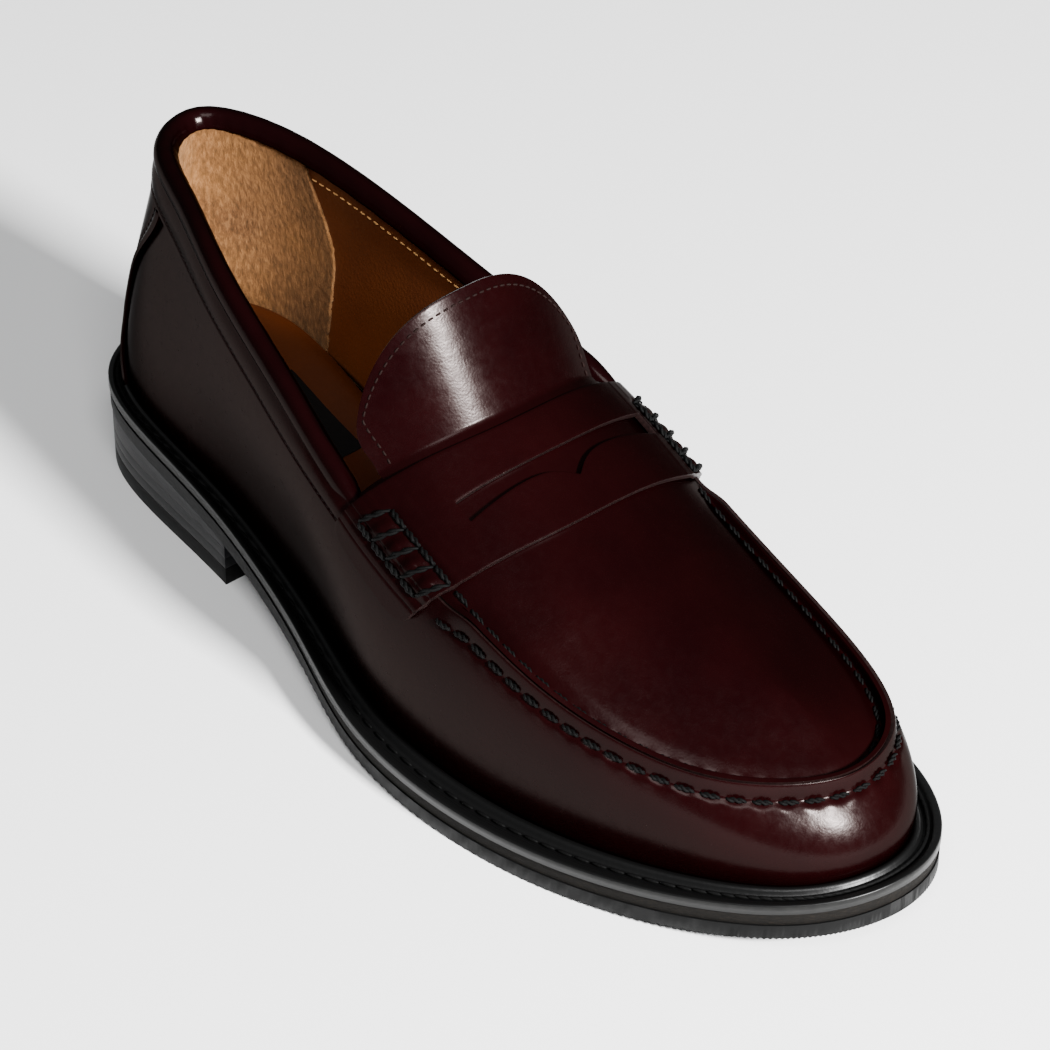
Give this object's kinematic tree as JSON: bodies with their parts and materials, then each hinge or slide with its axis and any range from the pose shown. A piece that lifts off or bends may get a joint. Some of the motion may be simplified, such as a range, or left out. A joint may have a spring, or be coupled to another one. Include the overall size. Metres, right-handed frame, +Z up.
{
  "type": "penny loafer",
  "caption": "Right-foot leather penny loafer with a saddle strap, hand-sewn apron, storm welt and low stacked heel; the tongue lifts on its fold.",
  "frame": {"origin": "middle of the shoe's footprint box, on the ground", "axes": "+X from heel to toe, +Y to the medial (inner) side, +Z up; a right shoe"},
  "size_m": [0.3, 0.107, 0.1147],
  "materials": {
    "oxblood_leather": "polished smooth box calf",
    "tan_leather": "smooth lining leather",
    "suede": "short-napped suede",
    "black_leather": "waxed sole edge and heel",
    "brown_leather": "raw cut midsole edge",
    "black_rubber": "matt moulded",
    "thread": "waxed linen thread",
    "cork": "pressed cork granules",
    "board": "bonded leather board",
    "steel": "spring steel strip",
    "label": "plain black satin"
  },
  "bodies": {
    "shoe": {"heel_top_piece": "black_rubber", "heel_lift_1": "black_leather", "heel_lift_2": "black_leather", "heel_wedge": "black_leather", "outsole": "black_rubber", "midsole": "brown_leather", "welt": "black_leather", "welt_thread": "thread", "cork_filler": "cork", "shank": "steel", "insole_board": "board", "sock": "tan_leather", "sock_label": "label", "skirt": "oxblood_leather", "heel_counter": "board", "toe_puff": "board", "heel_grip": "suede", "quarter_lining_lateral": "tan_leather", "quarter_lining_medial": "tan_leather", "vamp_lining": "tan_leather", "collar_band": "oxblood_leather", "heel_stay": "oxblood_leather", "collar_thread": "thread", "heel_stay_thread_lateral": "thread", "heel_stay_thread_medial": "thread", "collar_binding": "oxblood_leather", "apron": "oxblood_leather", "apron_lining": "tan_leather", "apron_thread": "thread", "strap": "oxblood_leather", "strap_thread_lateral": "thread", "strap_thread_medial": "thread"},
    "tongue_flap": {"tongue": "oxblood_leather", "tongue_lining": "tan_leather", "tongue_thread": "thread"}
  },
  "joints": [
    {"name": "tongue_lift", "type": "hinge", "parent": "shoe", "child": "tongue_flap", "pos_m": [0.0135, 0.0036, 0.0857], "axis": [0, 1, 0], "range_deg": [-4, 28], "stiffness_Nm_per_rad": 0.08}
  ]
}
